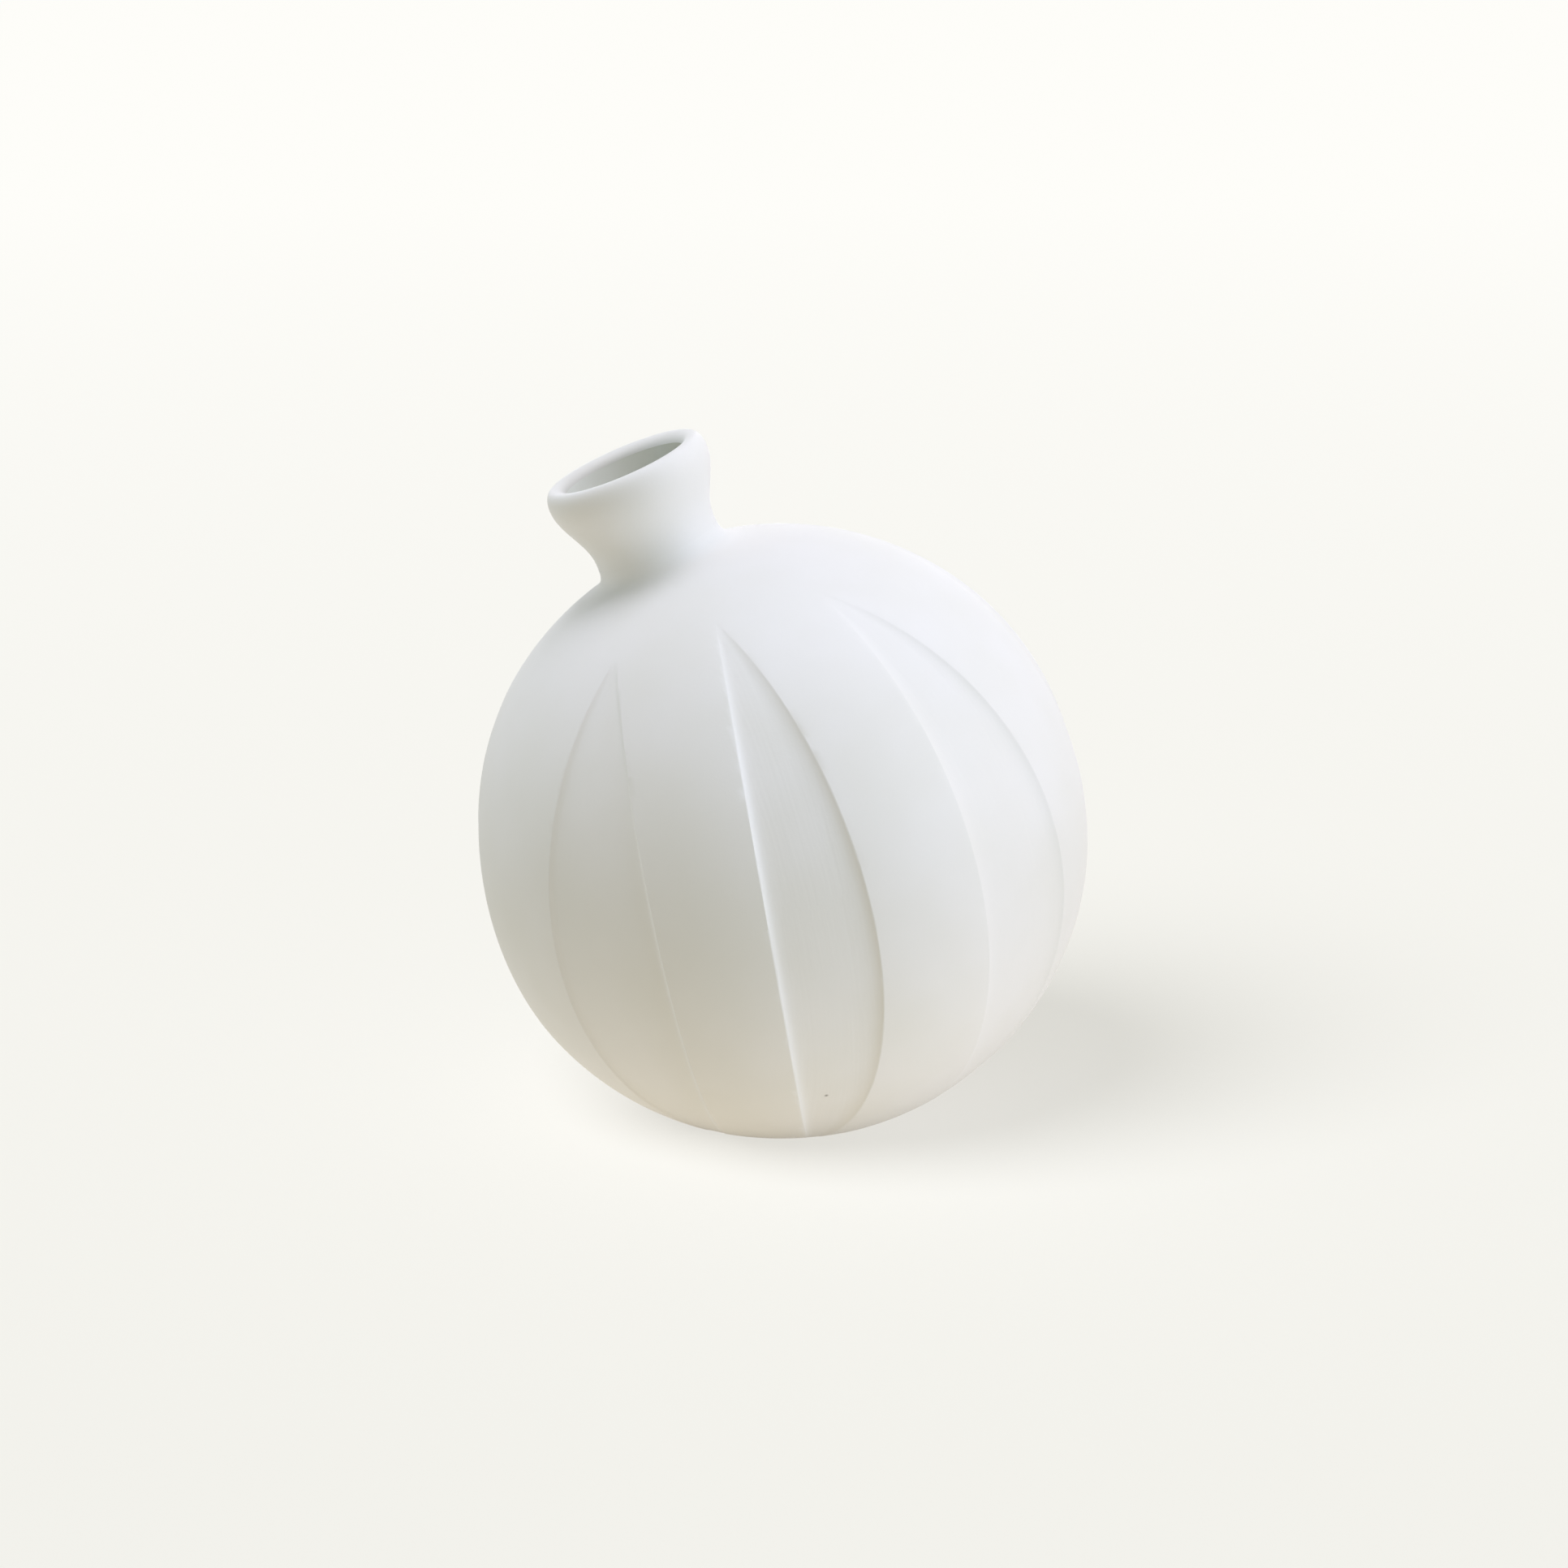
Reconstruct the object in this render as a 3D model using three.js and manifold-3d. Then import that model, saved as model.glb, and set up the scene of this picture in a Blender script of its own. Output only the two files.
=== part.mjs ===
// Globe vase in matte porcelain, built as a potter builds it: two thrown bowls joined rim to rim
// into a globe, a flared neck luted to the shoulder, a coil of clay smoothed round the neck's joint
// and a coat of clear glaze inside. Leaf-shaped facets are carved from the shoulder to the foot.
// Millimetres, +Z up. The origin is the middle of the flat foot, and the neck leans towards -X.
import * as THREE from 'three';
import { mergeVertices } from 'three/addons/utils/BufferGeometryUtils.js';
import Module from 'manifold-3d';

const wasm = await Module();
wasm.setup();

const DEGREE = Math.PI / 180;

// Globe, in millimetres and degrees
const GLOBE_RADIUS = 50;
const BEYOND = 2 * GLOBE_RADIUS; // the reach of a cut that passes right through
const CENTRE_HEIGHT = 46; // the flat foot lies this far below the globe's centre
const NECK_LEAN = 22.6; // from the vertical
const CAVITY_RADIUS = 45.2;
const CAVITY_LIFT = 1.3; // along the neck's axis, which leaves the wall thickest at the foot
const SLIP_GAP = 0.3; // the layer of slip that lutes one piece to the next

// Rim joint of the two bowls: a V-shaped tongue in a V-shaped groove, in the middle of the wall
const RIM_JOINT_RADIUS = 47.2;
const RIM_JOINT_DEPTH = 1.1;

// Neck: radii, and distances from the globe's centre along the neck's axis
const BORE_RADIUS = 7.4;
const NECK_FOOT_RADIUS = 10;
const WAIST_RADIUS = 10.2;
const WAIST_DISTANCE = 52.8;
const LIP_RADIUS = 13.6; // where the lip is widest
const LIP_DISTANCE = 63.6;
const RIM_RADIUS = 12.1; // the crest of the lip
const RIM_DISTANCE = 66.4;
const MOUTH_RADIUS = 10.1;
const MOUTH_DISTANCE = 65;
const FLARE_EASE = 3.8; // how far each end of the flare runs along the axis before it turns out

// Coil round the neck's joint
const COIL_RADIUS = 10.4; // inside
const COIL_REACH = 13.8; // radius of its feather edge on the globe
const COIL_TOP_DISTANCE = 51.9;
const COIL_EDGE = 0.2; // thickness left at its two feather edges

// Glaze
const GLAZE_THICKNESS = 0.5;

// Facets: a turn of 0 faces -Y and a turn of 90 faces +X
const FACET_TOE_ANGLE = 18; // from straight below the globe's centre, at the edge of the foot
const FACET_DEPTH = 1.2;
const FACET_BITE = 0.6; // how far below the tip the floor's arc ends, so that a facet starts at once
const FACET_FLOOR_RADIUS = 125; // across the facet, which is flatter than the globe
const FLOOR_HALF_WIDTH = 16; // of the barrel that shapes the floor, wider than any facet
const FACETS = [
  // Turn of the tip round the neck and its angle from the neck's axis, turn of the middle round the
  // globe and its half width, turn of the toe round the foot
  { tip: -23, top: 32, middle: -35, half: 11.5, toe: -33 },
  { tip: 14, top: 32, middle: 7, half: 9.5, toe: 15 },
  { tip: 47, top: 37, middle: 51, half: 12, toe: 83 },
  { tip: 103, top: 36, middle: 91, half: 11, toe: 98 },
  { tip: 141, top: 34, middle: 138, half: 11, toe: 145 },
  { tip: 182, top: 34, middle: 185, half: 11, toe: 187 },
  { tip: 221, top: 34, middle: 230, half: 11, toe: 222 },
  { tip: 257, top: 35, middle: 274, half: 10.5, toe: 255 },
];

// Smoothness
const GLOBE_STEPS = 56;
const CAVITY_STEPS = 40;
const NECK_STEPS = 40;
const GLAZE_STEPS = 28;
const FACET_STEPS = 56;
const FACET_CROSS_STEPS = 4;
const NECK_CURVE_STEPS = 4;
const COIL_CURVE_STEPS = 4;
const GLAZE_CURVE_STEPS = 6;

const porcelain = new THREE.MeshStandardMaterial({ color: 0xf0efec, roughness: 0.7, metalness: 0 });
const clearGlaze = new THREE.MeshStandardMaterial({ color: 0xe6ebe6, roughness: 0.15, metalness: 0 });

// The pieces are thrown about the neck's axis, as +Z of a group that leans; this turns the upright
// frame into that group's
const upright = new THREE.Matrix4().makeRotationY(NECK_LEAN * DEGREE);

// A solid that can be cut, from a closed geometry
function solid(geometry) {
  geometry.deleteAttribute('normal');
  geometry.deleteAttribute('uv');
  const merged = mergeVertices(geometry);
  const corners = merged.index.array;
  const triangles = [];
  for (let i = 0; i < corners.length; i += 3) {
    const [a, b, c] = corners.subarray(i, i + 3);
    if (a !== b && b !== c && c !== a) {
      triangles.push(a, b, c);
    }
  }
  return new wasm.Manifold(new wasm.Mesh({
    numProp: 3,
    vertProperties: merged.attributes.position.array,
    triVerts: new Uint32Array(triangles),
  }));
}

function geometryOf(body) {
  const { vertProperties, triVerts } = body.getMesh();
  const geometry = new THREE.BufferGeometry();
  geometry.setAttribute('position', new THREE.BufferAttribute(vertProperties, 3));
  geometry.setIndex(new THREE.BufferAttribute(triVerts, 1));
  geometry.computeVertexNormals();
  return geometry;
}

// A profile of radius and height, turned about +Z
function turned(points, steps) {
  return new THREE.LatheGeometry(points, steps).rotateX(Math.PI / 2);
}

function ball(radius, lift, steps) {
  const geometry = new THREE.SphereGeometry(radius, steps, steps / 2);
  return solid(geometry.rotateX(Math.PI / 2).translate(0, 0, lift));
}

// Distance along the neck's axis at which a piece sits on the globe, by radius from the axis
function seatHeight(radius) {
  return Math.sqrt((GLOBE_RADIUS + SLIP_GAP) ** 2 - radius ** 2);
}

// A point on the globe at a turn and at an angle from a pole, which is up or down
function pointOnGlobe(turn, angle, up) {
  const side = GLOBE_RADIUS * Math.sin(angle * DEGREE);
  const height = GLOBE_RADIUS * Math.cos(angle * DEGREE) * up;
  return new THREE.Vector3(side * Math.sin(turn * DEGREE), -side * Math.cos(turn * DEGREE), height);
}

// A point whose turn and angle are taken from straight below the globe's centre, in the leaning group
function pointFromFoot(turn, angle) {
  return pointOnGlobe(turn, angle, -1).applyMatrix4(upright);
}

// Frame on a chord of the globe: its middle, the way out of the globe towards a crest, and across both
function chordFrame(upper, lower, crest) {
  const centre = upper.clone().add(lower).divideScalar(2);
  const along = upper.clone().sub(lower).normalize();
  const outward = crest.clone().sub(centre);
  outward.addScaledVector(along, -outward.dot(along)).normalize();
  const across = along.clone().cross(outward);
  const placed = (origin) => new THREE.Matrix4().makeBasis(outward, across, along).setPosition(origin);
  const reach = centre.dot(outward);
  const rise = Math.sqrt(reach ** 2 + GLOBE_RADIUS ** 2 - centre.lengthSq()) - reach;
  return { centre, outward, across, placed, rise, halfChord: upper.distanceTo(lower) / 2 };
}

// What the carver's blade takes away for one facet: a wedge between two planes that meet along the
// line from tip to toe, down to a barrel-shaped floor
function facetChip({ tip, top, middle, half, toe }) {
  const upper = pointOnGlobe(tip, top, 1);
  const lower = pointFromFoot(toe, FACET_TOE_ANGLE);
  const crest = pointFromFoot(middle, 90);

  const leaf = chordFrame(upper, lower, crest);
  const edge = (turn) => {
    const offset = pointFromFoot(turn, 90).sub(leaf.centre);
    const direction = new THREE.Vector2(offset.dot(leaf.outward), offset.dot(leaf.across));
    return direction.normalize().multiplyScalar(BEYOND);
  };
  const opening = new THREE.Shape([new THREE.Vector2(), edge(middle - half), edge(middle + half)]);
  const wedge = new THREE.ExtrudeGeometry(opening, { depth: BEYOND, bevelEnabled: false });
  wedge.translate(0, 0, -BEYOND / 2).applyMatrix4(leaf.placed(leaf.centre));

  // The floor is an arc from below the tip to the toe, and it slopes across the facet as the globe
  // does there
  const bite = upper.clone().addScaledVector(leaf.outward, -FACET_BITE);
  const floor = chordFrame(bite, lower, crest);
  const floorRise = floor.rise - FACET_DEPTH;
  const floorRadius = (floor.halfChord ** 2 + floorRise ** 2) / (2 * floorRise);
  const crown = floor.centre.clone().addScaledVector(floor.outward, floor.rise);
  const slope = -crown.dot(floor.across) / crown.dot(floor.outward);
  const profile = [];
  for (let i = 0; i <= FACET_CROSS_STEPS; i += 1) {
    const offset = FLOOR_HALF_WIDTH * (2 * i / FACET_CROSS_STEPS - 1);
    const radius = floorRadius + slope * offset - offset ** 2 / (2 * FACET_FLOOR_RADIUS);
    profile.push(new THREE.Vector2(radius, offset));
  }
  profile.unshift(new THREE.Vector2(0, -FLOOR_HALF_WIDTH));
  profile.push(new THREE.Vector2(0, FLOOR_HALF_WIDTH));
  const barrel = new THREE.LatheGeometry(profile, FACET_STEPS);
  const axis = floor.centre.clone().addScaledVector(floor.outward, floorRise - floorRadius);
  barrel.applyMatrix4(floor.placed(axis));
  return solid(wedge).subtract(solid(barrel));
}

// The globe's wall: cut flat at the foot, carved, hollowed and pierced for the neck
function carvedGlobe() {
  const ground = new THREE.BoxGeometry(2 * BEYOND, 2 * BEYOND, BEYOND);
  ground.translate(0, 0, -CENTRE_HEIGHT - BEYOND / 2).applyMatrix4(upright);
  const hole = new THREE.CylinderGeometry(BORE_RADIUS, BORE_RADIUS, BEYOND, NECK_STEPS);
  hole.rotateX(Math.PI / 2).translate(0, 0, BEYOND / 2);
  let wall = ball(GLOBE_RADIUS, 0, GLOBE_STEPS).subtract(solid(ground));
  for (const facet of FACETS) {
    wall = wall.subtract(facetChip(facet));
  }
  return wall.subtract(ball(CAVITY_RADIUS, CAVITY_LIFT, CAVITY_STEPS)).subtract(solid(hole));
}

// The part of the globe's wall between a rim with its V-shaped joint and a height beyond a pole
function bowl(wall, rimHeight, poleHeight) {
  const half = new THREE.Path();
  half.moveTo(0, rimHeight);
  half.lineTo(RIM_JOINT_RADIUS - RIM_JOINT_DEPTH, rimHeight);
  half.lineTo(RIM_JOINT_RADIUS, rimHeight - RIM_JOINT_DEPTH);
  half.lineTo(RIM_JOINT_RADIUS + RIM_JOINT_DEPTH, rimHeight);
  half.lineTo(BEYOND, rimHeight);
  half.lineTo(BEYOND, poleHeight);
  half.lineTo(0, poleHeight);
  const outline = half.getPoints();
  if (poleHeight < rimHeight) {
    outline.reverse(); // a turned outline faces out when it runs upwards
  }
  return geometryOf(wall.intersect(solid(turned(outline, GLOBE_STEPS))));
}

// An S-shaped run of the neck's wall, from where the outline is, straight at both ends
function flareTo(outline, radius, distance) {
  const { x, y } = outline.currentPoint;
  const ease = Math.sign(distance - y) * FLARE_EASE;
  outline.bezierCurveTo(x, y + ease, radius, distance - ease, radius, distance);
}

// A quarter round of the lip, from a start angle anticlockwise
function lipQuarter(outline, radius, distance, start) {
  const width = Math.abs(RIM_RADIUS - radius);
  outline.absellipse(RIM_RADIUS, distance, width, RIM_DISTANCE - distance, start, start + Math.PI / 2);
}

function neck() {
  const outline = new THREE.Path();
  outline.moveTo(NECK_FOOT_RADIUS, seatHeight(NECK_FOOT_RADIUS));
  outline.lineTo(WAIST_RADIUS, WAIST_DISTANCE);
  flareTo(outline, LIP_RADIUS, LIP_DISTANCE);
  lipQuarter(outline, LIP_RADIUS, LIP_DISTANCE, 0);
  lipQuarter(outline, MOUTH_RADIUS, MOUTH_DISTANCE, Math.PI / 2);
  flareTo(outline, BORE_RADIUS, WAIST_DISTANCE);
  outline.lineTo(BORE_RADIUS, seatHeight(BORE_RADIUS));
  outline.closePath();
  return turned(outline.getPoints(NECK_CURVE_STEPS), NECK_STEPS);
}

function neckCoil() {
  const outside = COIL_RADIUS + COIL_EDGE;
  const outline = new THREE.Path();
  outline.moveTo(COIL_RADIUS, seatHeight(COIL_RADIUS));
  outline.lineTo(COIL_REACH, seatHeight(COIL_REACH));
  outline.lineTo(COIL_REACH, seatHeight(COIL_REACH) + COIL_EDGE);
  outline.quadraticCurveTo(outside, seatHeight(outside), outside, COIL_TOP_DISTANCE);
  outline.lineTo(COIL_RADIUS, COIL_TOP_DISTANCE);
  outline.closePath();
  return turned(outline.getPoints(COIL_CURVE_STEPS), NECK_STEPS);
}

// A skin that follows the cavity and the bore up to the lip
function glazeLining() {
  const outer = SLIP_GAP;
  const inner = SLIP_GAP + GLAZE_THICKNESS;
  const bottom = -Math.PI / 2;
  const shoulder = (inset) => Math.acos((BORE_RADIUS - inset) / (CAVITY_RADIUS - inset));
  const outline = new THREE.Path();
  outline.absarc(0, CAVITY_LIFT, CAVITY_RADIUS - outer, bottom, shoulder(outer));
  outline.lineTo(BORE_RADIUS - outer, WAIST_DISTANCE);
  flareTo(outline, MOUTH_RADIUS - outer, MOUTH_DISTANCE);
  outline.lineTo(MOUTH_RADIUS - inner, MOUTH_DISTANCE);
  flareTo(outline, BORE_RADIUS - inner, WAIST_DISTANCE);
  outline.absarc(0, CAVITY_LIFT, CAVITY_RADIUS - inner, shoulder(inner), bottom, true);
  return turned(outline.getPoints(GLAZE_CURVE_STEPS), GLAZE_STEPS);
}

function piece(name, geometry, material) {
  const mesh = new THREE.Mesh(geometry, material);
  mesh.name = name;
  return mesh;
}

const globe = carvedGlobe();
const thrown = new THREE.Group();
thrown.position.z = CENTRE_HEIGHT;
thrown.rotation.y = -NECK_LEAN * DEGREE;
thrown.add(
  piece('lower_bowl', bowl(globe, 0, -BEYOND), porcelain),
  piece('upper_bowl', bowl(globe, SLIP_GAP, BEYOND), porcelain),
  piece('neck', neck(), porcelain),
  piece('neck_coil', neckCoil(), porcelain),
  piece('glaze_lining', glazeLining(), clearGlaze),
);

const vase = new THREE.Group();
vase.add(thrown);

export default vase;
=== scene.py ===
# Globe vase in matte white porcelain, with a leaning flared neck and carved leaf-shaped facets
from math import acos, atan2, cos, exp, hypot, pi, radians, sin, sqrt, tan, tau

import bmesh
import bpy
from mathutils import Matrix, Vector


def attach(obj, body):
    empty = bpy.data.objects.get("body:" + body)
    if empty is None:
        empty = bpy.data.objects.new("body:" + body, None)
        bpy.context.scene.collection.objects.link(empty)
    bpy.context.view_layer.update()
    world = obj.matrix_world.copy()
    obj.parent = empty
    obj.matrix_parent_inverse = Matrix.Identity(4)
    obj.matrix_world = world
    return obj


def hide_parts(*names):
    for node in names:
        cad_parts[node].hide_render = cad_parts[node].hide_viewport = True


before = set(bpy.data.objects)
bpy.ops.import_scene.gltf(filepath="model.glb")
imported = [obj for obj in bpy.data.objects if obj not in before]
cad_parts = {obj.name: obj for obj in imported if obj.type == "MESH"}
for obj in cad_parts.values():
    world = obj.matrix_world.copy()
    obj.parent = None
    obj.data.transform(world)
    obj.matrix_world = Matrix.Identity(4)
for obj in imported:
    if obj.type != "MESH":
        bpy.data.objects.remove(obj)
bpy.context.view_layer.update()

MM = 0.001

# Globe, as in the solids
GLOBE_RADIUS = 50 * MM
CENTRE_HEIGHT = 46 * MM
NECK_LEAN = radians(22.6)
GLOBE_SEGMENTS = 256
GLOBE_RINGS = 128

# Cavity in the globe, and the glaze on its wall
CAVITY_RADIUS = 45.2 * MM
CAVITY_LIFT = 1.3 * MM
CAVITY_SEGMENTS = 96
CAVITY_RINGS = 48
CAVITY_ARCS = 8
GLAZE_THICKNESS = 0.4 * MM

# Neck: radii, and distances from the globe's centre along the neck's axis
BORE_RADIUS = 7.4 * MM
NECK_FOOT_RADIUS = 10 * MM
WAIST_RADIUS = 10.2 * MM
WAIST_DISTANCE = 52.8 * MM
LIP_RADIUS = 13.6 * MM
LIP_DISTANCE = 63.6 * MM
RIM_RADIUS = 12.1 * MM
RIM_DISTANCE = 66.4 * MM
MOUTH_RADIUS = 10.1 * MM
MOUTH_DISTANCE = 65 * MM
WAIST_EASE = 1 * MM  # how far below the waist the wall begins to straighten
FLARE_EASE = 3.8 * MM  # and how far the flare takes to leave the waist and to reach the lip
MOUTH_SLOPE = 0.33  # how far the wall inside leans in for each mm down from the mouth
NECK_SEGMENTS = 192
NECK_RESOLUTION = 16
GLAZE_RESOLUTION = 8

# Coil smoothed round the neck's joint
COIL_REACH = 13.8 * MM
COIL_TOP_DISTANCE = 51.9 * MM
COIL_SWEEP = 0.7  # share of its width over which it leaves the globe
COIL_RISE = 2.4 * MM  # how far it runs up along the neck
COIL_PROUD = 0.02 * MM  # how far its top edge stands out from the neck
COIL_TUCK = 0.2 * MM  # how far its hidden back lies inside the neck's wall

# Facets: a turn of 0 faces -Y and a turn of 90 faces +X
FACET_TOE_ANGLE = radians(18)
FACET_DEPTH = 1.2 * MM
FACET_BITE = 0.6 * MM
FACET_FLOOR_RADIUS = 125 * MM
FACETS = [
    # In degrees: the tip's turn round the neck and its angle from the neck's axis, the middle's turn
    # round the globe and its half width, and the toe's turn round the foot. In mm: how soon the left and
    # the right wall bend into the floor, and how far above the toe the blade begins to lift.
    dict(tip=-23, top=32, middle=-35, half=11.5, toe=-33, left_run=0.55, right_run=0.35, lift=4),
    dict(tip=14, top=32, middle=7, half=9.5, toe=15, left_run=0.55, right_run=1.0, lift=4),
    dict(tip=47, top=37, middle=51, half=12, toe=83, left_run=1.1, right_run=1.0, lift=34),
    dict(tip=103, top=36, middle=91, half=11, toe=98, left_run=1.1, right_run=1.0, lift=34),
    dict(tip=141, top=34, middle=138, half=11, toe=145, left_run=0.7, right_run=0.8, lift=10),
    dict(tip=182, top=34, middle=185, half=11, toe=187, left_run=0.55, right_run=1.0, lift=4),
    dict(tip=221, top=34, middle=230, half=11, toe=222, left_run=0.7, right_run=0.8, lift=10),
    dict(tip=257, top=35, middle=274, half=10.5, toe=255, left_run=0.55, right_run=1.0, lift=16),
]
# Rows of edges beside each facet's outline, as distances inside it in mm
FACET_ROWS = [-0.15, 0, 0.1, 0.22, 0.36, 0.55, 0.8, 1.1, 1.5, 2.1, 3, 4.2]
PAST_MIDDLE = 30  # a distance in mm that lies past every facet's middle
FACET_MARGIN = 0.1  # angle in radians beside a facet within which its rows are cut

# Heights in mm of more rows: beside the bowls' seam, to keep it from showing, and at the foot
SEAM_ROWS = [-0.15, 0.15]
FOOT_ROWS = [-0.6, -0.3, 0, 0.3, 0.6]
FOOT_SOFTENING = 0.35 * MM

MERGE_DISTANCE = 0.002 * MM
ON_SEAM = 0.01 * MM  # how near the seam's height an edge on the seam is
SHARP_ANGLE = radians(50)  # edges sharper than this stay crisp

# The pot is modelled upright about the neck's axis and leant over when it is done; this turns a
# direction of the finished pot into the upright one's
upright = Matrix.Rotation(NECK_LEAN, 3, "Y")
DOWN = upright @ Vector((0, 0, -1))


# Modelling

def deselect():
    if bpy.context.object and bpy.context.object.mode != "OBJECT":
        bpy.ops.object.mode_set(mode="OBJECT")
    bpy.ops.object.select_all(action="DESELECT")


def work_on(*objects):
    """Selects these objects and makes the first one active."""
    deselect()
    for obj in objects:
        obj.select_set(True)
    bpy.context.view_layer.objects.active = objects[0]


def begin_edit(obj, kind):
    """Opens a mesh for editing with nothing selected; the kind is VERT, EDGE or FACE."""
    work_on(obj)
    bpy.ops.object.mode_set(mode="EDIT")
    bpy.ops.mesh.select_mode(type=kind)
    bpy.ops.mesh.select_all(action="DESELECT")


def end_edit():
    bpy.ops.object.mode_set(mode="OBJECT")


def select_faces(obj, test):
    """In edit mode, selects the faces whose middle passes the test."""
    mesh = bmesh.from_edit_mesh(obj.data)
    for face in mesh.faces:
        if test(face.calc_center_median()):
            face.select_set(True)
    bmesh.update_edit_mesh(obj.data)


def select_open_edges(obj, test):
    """In edit mode, selects the open edges whose middle passes the test."""
    mesh = bmesh.from_edit_mesh(obj.data)
    for edge in mesh.edges:
        if edge.is_boundary and test((edge.verts[0].co + edge.verts[1].co) / 2):
            edge.select_set(True)
    bmesh.update_edit_mesh(obj.data)


def bisect(point, normal, **options):
    bpy.ops.mesh.select_all(action="SELECT")
    bpy.ops.mesh.bisect(plane_co=point, plane_no=normal, **options)


def close_up(obj):
    """Merges doubles, turns the faces outwards and shades the mesh smooth."""
    begin_edit(obj, "FACE")
    bpy.ops.mesh.select_all(action="SELECT")
    bpy.ops.mesh.remove_doubles(threshold=MERGE_DISTANCE)
    bpy.ops.mesh.normals_make_consistent(inside=False)
    end_edit()
    bpy.ops.object.shade_smooth_by_angle(angle=SHARP_ANGLE)


def lean(obj):
    """Leans an upright piece over with the neck and sets it on its foot, with its place in its mesh."""
    work_on(obj)
    obj.rotation_euler = (0, -NECK_LEAN, 0)
    obj.location = (0, 0, CENTRE_HEIGHT)
    bpy.ops.object.transform_apply(location=True, rotation=True, scale=True)


# Globe

def on_globe(turn, angle, up):
    """A point on the globe at a turn in degrees and an angle from a pole, which is up or down."""
    side = GLOBE_RADIUS * sin(angle)
    turn = radians(turn)
    return Vector((side * sin(turn), -side * cos(turn), GLOBE_RADIUS * cos(angle) * up))


def seat(radius):
    """Height on the globe at a radius from the neck's axis."""
    return sqrt(GLOBE_RADIUS ** 2 - radius ** 2)


def chord_frame(upper, lower, crest):
    """A chord's middle and direction, the way out of the globe towards a crest and how far that is."""
    centre = (upper + lower) / 2
    along = (upper - lower).normalized()
    outward = crest - centre
    outward = (outward - along * outward.dot(along)).normalized()
    reach = centre.dot(outward)
    rise = sqrt(reach ** 2 + GLOBE_RADIUS ** 2 - centre.length_squared) - reach
    return centre, along, outward, rise


def wall(row, scale, run):
    """Share of a facet's depth at a row inside its outline, in straight runs between the edge rows."""
    rows = FACET_ROWS[1:] + [PAST_MIDDLE]
    step = next(i for i in range(1, len(rows)) if row <= rows[i])
    before, after = rows[step - 1], rows[step]
    part = (row - before) / (after - before)
    return 1 - exp(-before * scale / run) * (1 - part) - exp(-after * scale / run) * part


class Facet:
    """One carved leaf: two planes through the line from tip to toe, and a barrel-shaped floor."""

    def __init__(self, tip, top, middle, half, toe, left_run, right_run, lift):
        upper = on_globe(tip, radians(top), 1)
        lower = upright @ on_globe(toe, FACET_TOE_ANGLE, -1)
        crest = upright @ on_globe(middle, pi / 2, -1)
        self.centre, self.along, self.outward, self.rise = chord_frame(upper, lower, crest)
        self.across = self.along.cross(self.outward)
        self.toe, self.lift = lower, lift * MM
        self.left_run, self.right_run = left_run, right_run
        edges = [self.angle(upright @ on_globe(middle + side, pi / 2, -1)) for side in (-half, half)]
        self.low, self.high = min(edges), max(edges)

        bite = upper - self.outward * FACET_BITE
        centre, along, outward, rise = chord_frame(bite, lower, crest)
        floor_rise = rise - FACET_DEPTH
        half_chord = (bite - lower).length / 2
        self.floor_radius = (half_chord ** 2 + floor_rise ** 2) / (2 * floor_rise)
        self.axis = centre + outward * (floor_rise - self.floor_radius)
        crown = centre + outward * rise
        self.slope = -crown.dot(self.across) / crown.dot(outward)

    def angle(self, point):
        """Angle of a point about the line from tip to toe."""
        offset = point - self.centre
        return atan2(offset.dot(self.across), offset.dot(self.outward))

    def plane(self, angle):
        """Normal of the plane at an angle about that line."""
        return self.across * cos(angle) - self.outward * sin(angle)

    def depth(self, point):
        """How deep the blade went at a point of the globe, and the distance from the facet's middle."""
        offset = point - self.centre
        side, out = offset.dot(self.across), offset.dot(self.outward)
        angle, radius = atan2(side, out), hypot(side, out)
        if not self.low < angle < self.high:
            return 0, 0
        from_axis = point - self.axis
        from_axis -= self.across * from_axis.dot(self.across)
        floor = self.floor_radius + self.slope * side - side ** 2 / (2 * FACET_FLOOR_RADIUS)
        gap = max(from_axis.length - floor, 0)
        scale = radius / self.rise
        left = wall(self.rise * (angle - self.low) / MM, scale, self.left_run)
        right = wall(self.rise * (self.high - angle) / MM, scale, self.right_run)
        above = min(max((point - self.toe).dot(self.along) / self.lift, 0), 1)
        lifted = above ** 2 * (3 - 2 * above)
        return gap * left * right * lifted, side


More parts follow.
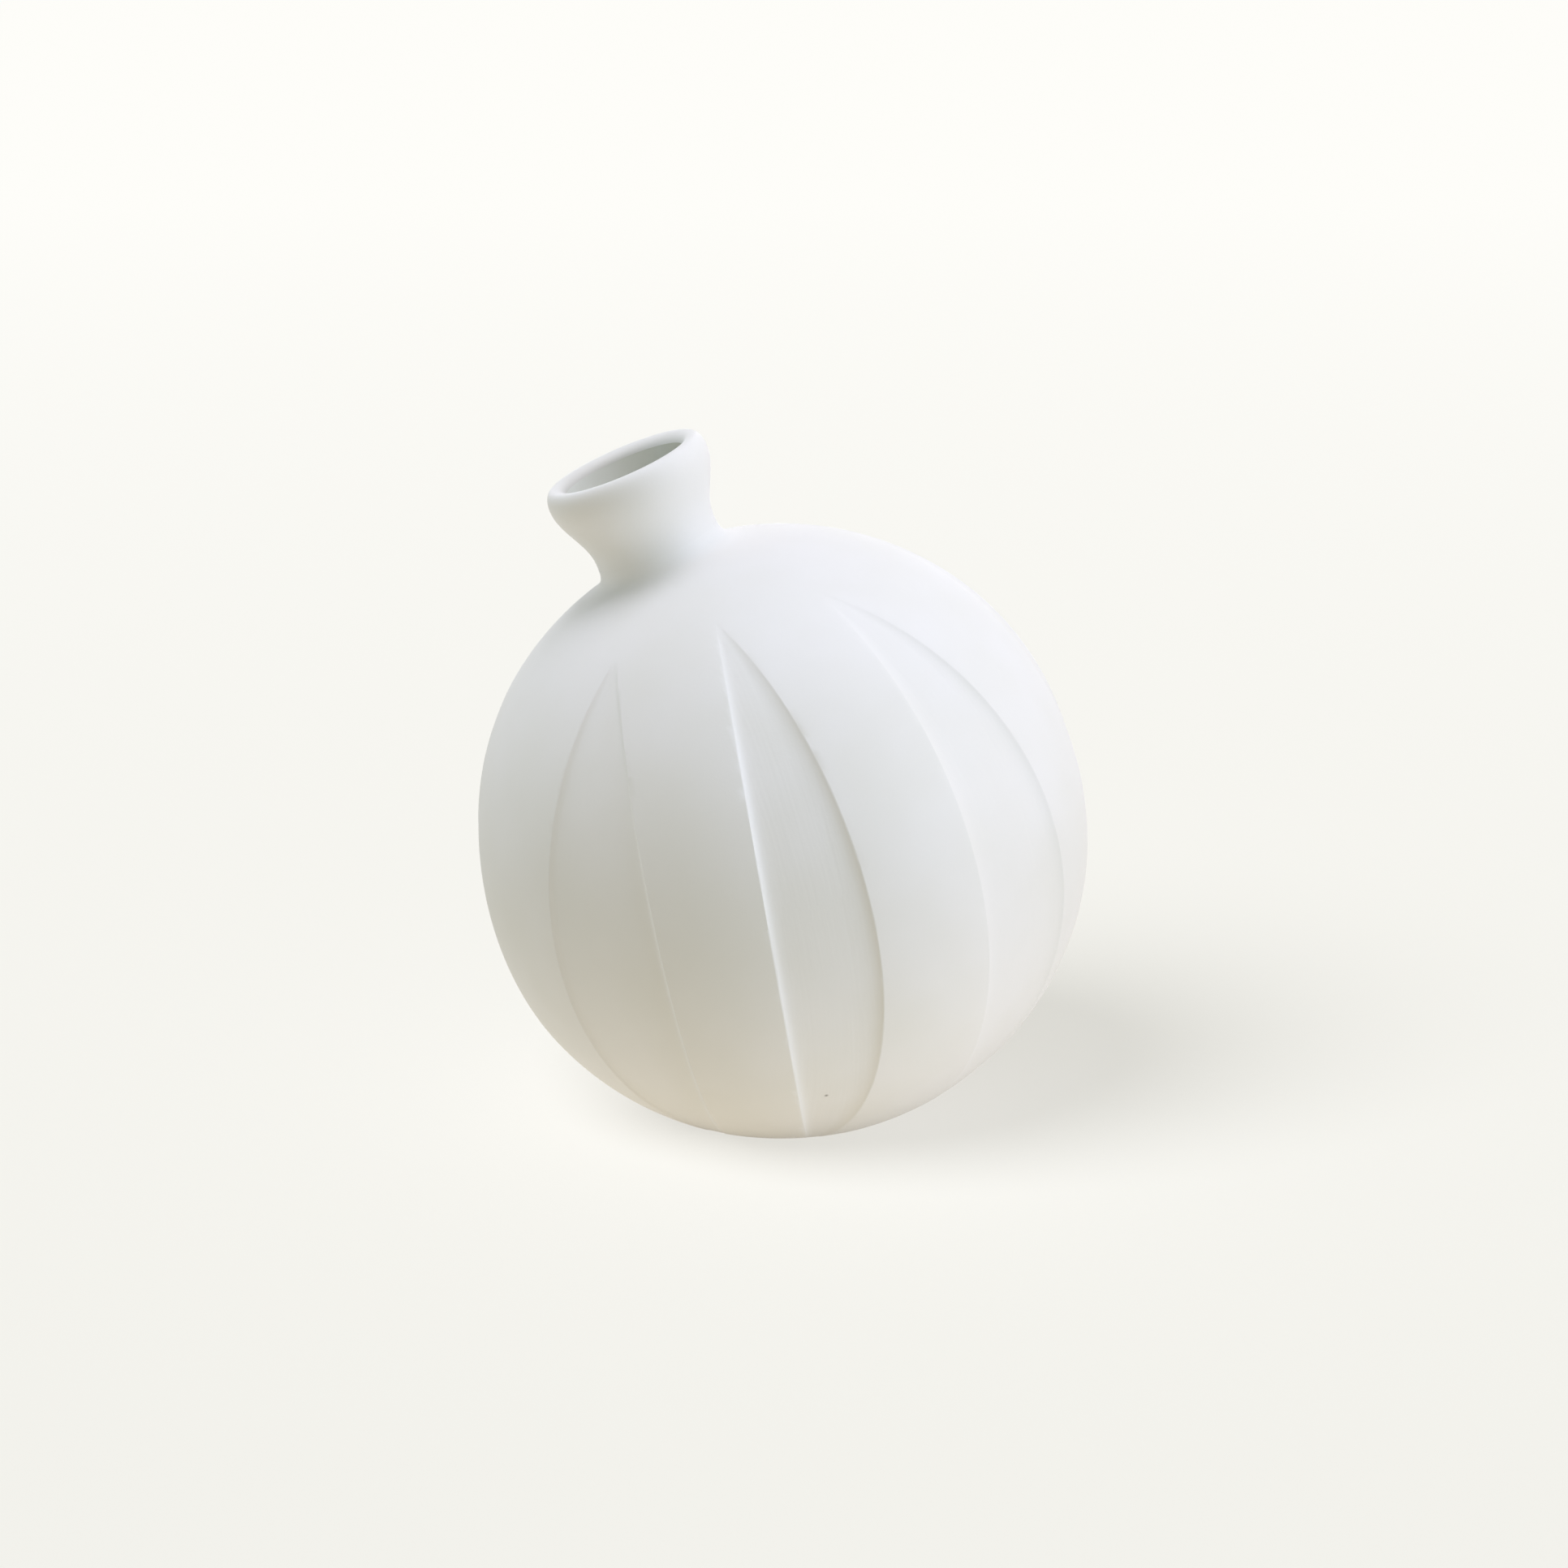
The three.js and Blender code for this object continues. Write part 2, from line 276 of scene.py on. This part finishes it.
def carved_globe():
    """The outside of the globe, with edges along every facet's outline, carved and flat at the foot."""
    deselect()
    bpy.ops.mesh.primitive_uv_sphere_add(
        segments=GLOBE_SEGMENTS, ring_count=GLOBE_RINGS, radius=GLOBE_RADIUS)
    globe = bpy.context.object
    facets = [Facet(**sizes) for sizes in FACETS]
    begin_edit(globe, "FACE")
    for facet in facets:
        lowest, highest = facet.low - FACET_MARGIN, facet.high + FACET_MARGIN
        select_faces(globe, lambda p: lowest < facet.angle(p) < highest)
        bpy.ops.mesh.hide(unselected=True)
        for row in FACET_ROWS:
            turn = row * MM / facet.rise
            for angle in (facet.low + turn, facet.high - turn):
                bisect(facet.centre, facet.plane(angle))
        bpy.ops.mesh.reveal(select=False)
        bpy.ops.mesh.select_all(action="DESELECT")
    for height in FOOT_ROWS:
        bisect(DOWN * (CENTRE_HEIGHT - height * MM), DOWN)
    for height in SEAM_ROWS:
        bisect((0, 0, height * MM), (0, 0, 1))
    end_edit()

    # The porcelain's drag marks read where the blade went and how far across the facet
    carved = globe.data.attributes.new("carved", "FLOAT", "POINT")
    across = globe.data.attributes.new("across", "FLOAT", "POINT")
    for vertex in globe.data.vertices:
        ray = vertex.co.normalized()
        depth, side = max(facet.depth(ray * GLOBE_RADIUS) for facet in facets)
        carved.data[vertex.index].value = min(depth / FACET_DEPTH, 1)
        across.data[vertex.index].value = side
        vertex.co = ray * (GLOBE_RADIUS - depth)
    for vertex in globe.data.vertices:
        height = CENTRE_HEIGHT - vertex.co.dot(DOWN)
        if height < FOOT_SOFTENING:
            rounded = max(height + FOOT_SOFTENING, 0) ** 2 / (4 * FOOT_SOFTENING)
            vertex.co -= DOWN * (rounded - height)
    return globe


def inner_wall(side):
    """Half of the cavity's wall: the lower one at side -1, the upper one, open to the bore, at side 1."""
    deselect()
    bpy.ops.mesh.primitive_uv_sphere_add(
        segments=CAVITY_SEGMENTS, ring_count=CAVITY_RINGS, radius=CAVITY_RADIUS,
        location=(0, 0, CAVITY_LIFT))
    inside = bpy.context.object
    bpy.ops.object.transform_apply(location=True, rotation=True, scale=True)
    begin_edit(inside, "FACE")
    bisect((0, 0, 0), (0, 0, side), clear_inner=True)
    if side > 0:
        top = CAVITY_LIFT + sqrt(CAVITY_RADIUS ** 2 - BORE_RADIUS ** 2)
        bisect((0, 0, top), (0, 0, 1), clear_outer=True)
    end_edit()
    return inside


def bowls():
    """The carved globe parted at its seam, each half with its inner wall, the upper with the neck's hole."""
    lower = carved_globe()
    begin_edit(lower, "FACE")
    select_faces(lower, lambda p: p.z > 0)
    bpy.ops.mesh.separate(type="SELECTED")
    end_edit()
    upper = next(obj for obj in bpy.context.selected_objects if obj is not lower)
    begin_edit(upper, "FACE")
    bisect((0, 0, seat(BORE_RADIUS)), (0, 0, 1), clear_outer=True)
    end_edit()
    for bowl, side in ((lower, -1), (upper, 1)):
        work_on(bowl, inner_wall(side))
        bpy.ops.object.join()
        begin_edit(bowl, "EDGE")
        select_open_edges(bowl, lambda p: abs(p.z) < ON_SEAM)
        bpy.ops.mesh.bridge_edge_loops()
        if side > 0:
            bpy.ops.mesh.select_all(action="DESELECT")
            select_open_edges(bowl, lambda p: p.z > GLOBE_RADIUS / 2)
            bpy.ops.mesh.bridge_edge_loops()
        end_edit()
        close_up(bowl)
    return lower, upper


# Turned pieces

CORNER = (0, 0)
ROUND = 0.5523  # handle length of a quarter round
INTO_MOUTH = (-FLARE_EASE * MOUTH_SLOPE, -FLARE_EASE)


def turned(profile, resolution):
    """A closed profile of (radius, height, handle in, handle out), turned about the neck's axis."""
    deselect()
    bpy.ops.curve.primitive_bezier_curve_add()
    curve = bpy.context.object
    spline = curve.data.splines[0]
    spline.bezier_points.add(len(profile) - len(spline.bezier_points))
    curve.data.resolution_u = resolution
    spline.use_cyclic_u = True
    for point, (radius, height, before, after) in zip(spline.bezier_points, profile):
        point.handle_left_type = point.handle_right_type = "FREE"
        point.co = (radius, 0, height)
        point.handle_left = (radius + before[0], 0, height + before[1])
        point.handle_right = (radius + after[0], 0, height + after[1])
    bpy.ops.object.convert(target="MESH")
    piece = bpy.context.object
    begin_edit(piece, "VERT")
    bpy.ops.mesh.select_all(action="SELECT")
    bpy.ops.mesh.spin(steps=NECK_SEGMENTS, angle=tau, center=(0, 0, 0), axis=(0, 0, 1))
    end_edit()
    close_up(piece)
    return piece


def neck():
    """The collar: up from the globe over the waist and the flare, round the lip and down the bore."""
    outer, inner = LIP_RADIUS - RIM_RADIUS, RIM_RADIUS - MOUTH_RADIUS
    rise, drop = RIM_DISTANCE - LIP_DISTANCE, RIM_DISTANCE - MOUTH_DISTANCE
    return turned([
        (NECK_FOOT_RADIUS, seat(NECK_FOOT_RADIUS), CORNER, CORNER),
        (WAIST_RADIUS, WAIST_DISTANCE, (0, -WAIST_EASE), (0, FLARE_EASE)),
        (LIP_RADIUS, LIP_DISTANCE, (0, -FLARE_EASE), (0, rise * ROUND)),
        (RIM_RADIUS, RIM_DISTANCE, (outer * ROUND, 0), (-inner * ROUND, 0)),
        (MOUTH_RADIUS, MOUTH_DISTANCE, (drop * ROUND * MOUTH_SLOPE, drop * ROUND), INTO_MOUTH),
        (BORE_RADIUS, WAIST_DISTANCE, (0, FLARE_EASE), CORNER),
        (BORE_RADIUS, seat(BORE_RADIUS), CORNER, CORNER),
    ], NECK_RESOLUTION)


def neck_coil():
    """The coil, smoothed to a fillet that runs out on the globe and on the neck."""
    sweep = COIL_SWEEP * (COIL_REACH - WAIST_RADIUS)
    slope = COIL_REACH / seat(COIL_REACH)
    return turned([
        (NECK_FOOT_RADIUS, seat(NECK_FOOT_RADIUS), CORNER, CORNER),
        (COIL_REACH, seat(COIL_REACH), CORNER, (-sweep, sweep * slope)),
        (WAIST_RADIUS + COIL_PROUD, COIL_TOP_DISTANCE, (0, -COIL_RISE), CORNER),
        (WAIST_RADIUS - COIL_TUCK, COIL_TOP_DISTANCE - COIL_TUCK / 2, CORNER, CORNER),
    ], NECK_RESOLUTION)


def cavity_line(inset):
    """The cavity's wall from its bottom to the bore, as points of a profile, inset by the glaze."""
    radius = CAVITY_RADIUS - inset
    end = acos((BORE_RADIUS - inset) / radius)
    step = (end + pi / 2) / CAVITY_ARCS
    handle = 4 / 3 * tan(step / 4) * radius
    points = []
    for i in range(CAVITY_ARCS + 1):
        angle = i * step - pi / 2
        run = Vector((-sin(angle), cos(angle))) * handle
        before = -run if i > 0 else CORNER
        after = run if i < CAVITY_ARCS else CORNER
        points.append((radius * cos(angle), CAVITY_LIFT + radius * sin(angle), before, after))
    return points


def glaze_lining():
    """The glaze: up the clay from the bottom of the cavity to the mouth, and back down its own face."""
    clay = cavity_line(0)
    face = [(radius, height, after, before)
            for radius, height, before, after in reversed(cavity_line(GLAZE_THICKNESS))]
    return turned(clay + [
        (BORE_RADIUS, WAIST_DISTANCE, CORNER, (0, FLARE_EASE)),
        (MOUTH_RADIUS, MOUTH_DISTANCE, INTO_MOUTH, INTO_MOUTH),
        (BORE_RADIUS - GLAZE_THICKNESS, WAIST_DISTANCE, (0, FLARE_EASE), CORNER),
    ] + face, GLAZE_RESOLUTION)


# Materials

CLOUD_SIZE = 20 * MM
RING_SPACING = 1.54 * MM
DRAG_SPACING = 0.8 * MM
DRAG_LENGTH = 16 * MM
GRAIN_SIZE = 0.385 * MM
SPECK_PLACE = (7.03 * MM, -36.15 * MM, 13.39 * MM)
SPECK_RADIUS = 0.42 * MM
POOL_SIZE = 8.3 * MM
# The glaze's painted shade runs from light at the mouth's left end to dark at its right end
MOUTH_LEFT = -34 * MM
MOUTH_RIGHT = -16 * MM


def linear(code):
    """A linear colour from an sRGB hex value."""
    parts = [int(code[i:i + 2], 16) / 255 for i in (1, 3, 5)]
    return tuple(c / 12.92 if c <= 0.04045 else ((c + 0.055) / 1.055) ** 2.4 for c in parts) + (1,)


def material(name):
    made = bpy.data.materials.new(name)
    made.use_nodes = True
    made.node_tree.nodes.clear()
    return made, made.node_tree


def add(tree, kind, settings, links=None):
    """Adds a node with its settings and links, and gives its outputs.

    An input goes by its name, or by its number where names repeat.
    """
    node = tree.nodes.new("ShaderNode" + kind)
    for name, value in settings.items():
        if isinstance(name, str) and hasattr(node, name):
            setattr(node, name, value)
        else:
            node.inputs[name].default_value = value
    for name, socket in (links or {}).items():
        tree.links.new(socket, node.inputs[name])
    return node.outputs


def bisque_porcelain():
    """Porcelain fired without glaze and rubbed smooth: a chalky white that takes light softly."""
    made, tree = material("bisque_porcelain_rubbed")
    place = add(tree, "TexCoord", {})["Object"]
    # The rings and drag marks are laid about the neck's axis, as the pot was thrown about it
    thrown = add(tree, "Mapping", {
        "vector_type": "TEXTURE", "Location": (0, 0, CENTRE_HEIGHT), "Rotation": (0, -NECK_LEAN, 0),
    }, {"Vector": place})["Vector"]
    height = add(tree, "SeparateXYZ", {}, {"Vector": thrown})["Z"]

    # Cloudy whites, as the clay body fires slightly uneven
    cloud = add(tree, "TexNoise", {"Scale": 1 / CLOUD_SIZE, "Detail": 2.0}, {"Vector": place})["Fac"]
    white = add(tree, "ValToRGB", {}, {"Fac": cloud})["Color"]
    ramp = white.node.color_ramp
    ramp.elements[0].position, ramp.elements[1].position = 0.35, 0.65
    ramp.elements[0].color, ramp.elements[1].color = linear("#EDEDEA"), linear("#F0F0EF")

    # One speck of iron in the clay, low on the front, with a soft edge
    speck_place = add(tree, "Mapping", {
        "vector_type": "TEXTURE", "Location": SPECK_PLACE, "Scale": (SPECK_RADIUS,) * 3,
    }, {"Vector": place})["Vector"]
    speck = add(tree, "TexGradient", {"gradient_type": "SPHERICAL"}, {"Vector": speck_place})["Fac"]
    colour = add(tree, "Mix", {"data_type": "RGBA", 7: linear("#6E655A")}, {"Factor": speck, 6: white})[2]

    # Turning rings
    rings = add(tree, "TexNoise", {
        "noise_dimensions": "1D", "Scale": 1 / RING_SPACING, "Detail": 1.0,
    }, {"W": height})["Fac"]
    ringed = add(tree, "Bump", {"Strength": 0.1, "Distance": 0.05 * MM}, {"Height": rings})["Normal"]

    # Drag marks of the carver's blade, drawn out along the facets
    across = add(tree, "Attribute", {"attribute_name": "across"})["Fac"]
    strip = add(tree, "CombineXYZ", {}, {"X": across, "Y": height})["Vector"]
    drawn = add(tree, "Mapping", {"Scale": (1, DRAG_SPACING / DRAG_LENGTH, 1)}, {"Vector": strip})["Vector"]
    drag = add(tree, "TexNoise", {
        "noise_dimensions": "2D", "Scale": 1 / DRAG_SPACING, "Detail": 1.0,
    }, {"Vector": drawn})["Fac"]
    carved = add(tree, "Attribute", {"attribute_name": "carved"})["Fac"]
    marks = add(tree, "Math", {"operation": "MULTIPLY"}, {0: drag, 1: carved})["Value"]
    dragged = add(tree, "Bump", {"Strength": 0.5, "Distance": 0.05 * MM},
                  {"Height": marks, "Normal": ringed})["Normal"]

    # The grain of the clay, drawn coarser than it is so that it shows
    grain = add(tree, "TexNoise", {"Scale": 1 / GRAIN_SIZE, "Detail": 1.0}, {"Vector": place})["Fac"]
    grained = add(tree, "Bump", {"Strength": 0.25, "Distance": 0.03 * MM},
                  {"Height": grain, "Normal": dragged})["Normal"]
    shader = add(tree, "BsdfPrincipled", {"Roughness": 0.62, "IOR": 1.45},
                 {"Base Color": colour, "Normal": grained})["BSDF"]
    add(tree, "OutputMaterial", {}, {"Surface": shader})
    return made


def clear_glaze():
    """Clear glaze over the white body inside: a shade greener, with a soft gloss, and painted shade towards
    the mouth's right end.
    """
    made, tree = material("clear_glaze_painted_shade")
    place = add(tree, "TexCoord", {})["Object"]
    # Painted shade: the glaze is drawn darker and greyer towards the right end of the mouth, where its
    # inside faces away from the light, with patches where it pooled
    pool = add(tree, "TexNoise", {"Scale": 1 / POOL_SIZE, "Detail": 2.0}, {"Vector": place})["Fac"]
    side = add(tree, "SeparateXYZ", {}, {"Vector": place})["X"]
    painted_shade = add(tree, "MapRange", {
        "From Min": MOUTH_LEFT, "From Max": MOUTH_RIGHT, "To Min": -0.2, "To Max": 0.8,
    }, {"Value": side})["Result"]
    shade_and_patches = add(tree, "Math", {"operation": "MULTIPLY_ADD", 1: 0.4}, {0: pool, 2: painted_shade})["Value"]
    tint = add(tree, "ValToRGB", {}, {"Fac": shade_and_patches})["Color"]
    ramp = tint.node.color_ramp
    # The grey end of the ramp is the painted shade at the mouth's right end
    ramp.elements[0].color, ramp.elements[1].color = linear("#F5F8F5"), linear("#BEBFAF")
    wave = add(tree, "Bump", {"Strength": 0.1, "Distance": 0.1 * MM}, {"Height": pool})["Normal"]
    shader = add(tree, "BsdfPrincipled", {"Roughness": 0.3, "IOR": 1.5},
                 {"Base Color": tint, "Normal": wave})["BSDF"]
    add(tree, "OutputMaterial", {}, {"Surface": shader})
    return made


def dress(piece, name, node, finish):
    """Names and finishes a piece, leans it into place, hangs it from the root and hides the model's node
    that it takes the place of.
    """
    piece.name = piece.data.name = name
    piece.data.materials.clear()
    piece.data.materials.append(finish)
    lean(piece)
    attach(piece, "root")
    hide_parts(node)


porcelain = bisque_porcelain()
lower_half, upper_half = bowls()
dress(lower_half, "lower_half", "lower_bowl", porcelain)
dress(upper_half, "upper_half", "upper_bowl", porcelain)
dress(neck(), "flared_neck", "neck", porcelain)
dress(neck_coil(), "smoothed_coil", "neck_coil", porcelain)
dress(glaze_lining(), "inside_glaze", "glaze_lining", clear_glaze())


# Stage: floor, light and camera

FLOOR_SIZE = 20
PAPER_NEAR = "#CFCEC9"  # the paper as it is seen at the front, before the skylight's share
PAPER_FAR = "#DDDCD9"  # and at the back
NEAR_DEPTH = -0.15
FAR_DEPTH = 0.9
PAPER_SHADE = "#8B8B8B"  # the share of the skylight that shows on it, with the shadow
PAPER_BOUNCE = "#E6DCCB"  # what it throws back on the vase
LAMP_DISTANCE = 1.3
BOX_SIZE = 0.8
VIEW_HEIGHT = radians(16.6)
VIEW_DISTANCE = 0.8


def seen(tree):
    """Tells the rays that show a surface to the eye, straight or by way of gloss or glass."""
    ray = add(tree, "LightPath", {})
    gloss = add(tree, "Math", {"operation": "MAXIMUM"},
                {0: ray["Is Glossy Ray"], 1: ray["Is Transmission Ray"]})["Value"]
    return add(tree, "Math", {"operation": "MAXIMUM"}, {0: ray["Is Camera Ray"], 1: gloss})["Value"]


def white_paper():
    """Paper sweep: white to the eye, a little brighter towards the back, with a soft shadow on it."""
    made, tree = material("white_paper_sweep")
    place = add(tree, "TexCoord", {})["Object"]
    depth = add(tree, "SeparateXYZ", {}, {"Vector": place})["Y"]
    far = add(tree, "MapRange", {"From Min": NEAR_DEPTH, "From Max": FAR_DEPTH}, {"Value": depth})["Result"]
    glow = add(tree, "ValToRGB", {}, {"Fac": far})["Color"]
    ramp = glow.node.color_ramp
    ramp.elements[0].color, ramp.elements[1].color = linear(PAPER_NEAR), linear(PAPER_FAR)
    lit = add(tree, "Emission", {}, {"Color": glow})["Emission"]
    shaded = add(tree, "BsdfDiffuse", {"Color": linear(PAPER_SHADE)})["BSDF"]
    paper = add(tree, "AddShader", {}, {0: lit, 1: shaded})["Shader"]
    # The vase's own boxes don't light the floor, so half of what it throws back is a glow of its own
    back = add(tree, "BsdfDiffuse", {"Color": linear(PAPER_BOUNCE)})["BSDF"]
    own = add(tree, "Emission", {"Color": linear(PAPER_BOUNCE), "Strength": 0.85})["Emission"]
    bounce = add(tree, "MixShader", {"Fac": 0.5}, {1: back, 2: own})["Shader"]
    both = add(tree, "MixShader", {}, {"Fac": seen(tree), 1: bounce, 2: paper})["Shader"]
    add(tree, "OutputMaterial", {}, {"Surface": both})
    return made


def studio():
    """The world: a dim warm room round the vase, and pale paper where the eye looks past it."""
    made = bpy.data.worlds.new("studio")
    made.use_nodes = True
    tree = made.node_tree
    tree.nodes.clear()
    room = add(tree, "Background", {"Color": linear("#FFFED6"), "Strength": 0.18})["Background"]
    sweep = add(tree, "Background", {"Color": linear("#FDFCF8")})["Background"]
    both = add(tree, "MixShader", {}, {"Fac": seen(tree), 1: room, 2: sweep})["Shader"]
    add(tree, "OutputWorld", {}, {"Surface": both})
    return made


def lamp(kind, name, turn, rise, power, colour):
    """A lamp aimed at the globe, at a turn from the front and a rise from the floor in degrees."""
    turn, rise = radians(turn), radians(rise)
    aim = Vector((cos(rise) * sin(turn), -cos(rise) * cos(turn), sin(rise)))
    deselect()
    bpy.ops.object.light_add(type=kind, location=aim * LAMP_DISTANCE + Vector((0, 0, CENTRE_HEIGHT)))
    light = bpy.context.object
    light.name = name
    light.data.energy = power
    light.data.color = linear(colour)[:3]
    light.rotation_euler = aim.to_track_quat("Z", "Y").to_euler()
    return light


deselect()
bpy.ops.mesh.primitive_plane_add(size=FLOOR_SIZE)
floor = bpy.context.object
floor.name = "floor"
floor.data.materials.append(white_paper())
bpy.context.scene.world = studio()

# Soft boxes light the vase, and a wide skylight lights the floor, so that one shadow falls to the right
floor_only = bpy.data.collections.new("floor_only")
floor_only.objects.link(floor)
not_floor = bpy.data.collections.new("not_floor")
not_floor.objects.link(floor)
not_floor.collection_objects[0].light_linking.link_state = "EXCLUDE"
for name, turn, rise, power, colour in (
    ("top_box", 0, 89, 11.1, "#F2F1FF"),
    ("front_box", 60, 8, 10.3, "#CDE3FF"),
    ("right_box", 90, 8, 4.4, "#FFE2DB"),
    ("back_box", 240, 55, 2.3, "#EFF0FF"),
    ("left_box", 270, 8, 3.6, "#C2E2FF"),
    ("fill_box", 180, 8, 2.5, "#EEF2FF"),
):
    box = lamp("AREA", name, turn, rise, power, colour)
    box.data.size = BOX_SIZE
    box.light_linking.receiver_collection = not_floor
skylight = lamp("SUN", "skylight", 310, 50, 3.5, "#FFFFFF")
skylight.data.angle = radians(43)
skylight.light_linking.receiver_collection = floor_only

bpy.ops.object.camera_add(
    location=(0, -VIEW_DISTANCE * cos(VIEW_HEIGHT), CENTRE_HEIGHT + VIEW_DISTANCE * sin(VIEW_HEIGHT)),
    rotation=(pi / 2 - VIEW_HEIGHT, 0, 0))
camera = bpy.context.object
camera.data.lens = 112.9
camera.data.shift_x = 0.0015
camera.data.shift_y = 0.0301
bpy.context.scene.camera = camera
bpy.context.scene.view_settings.view_transform = "Standard"
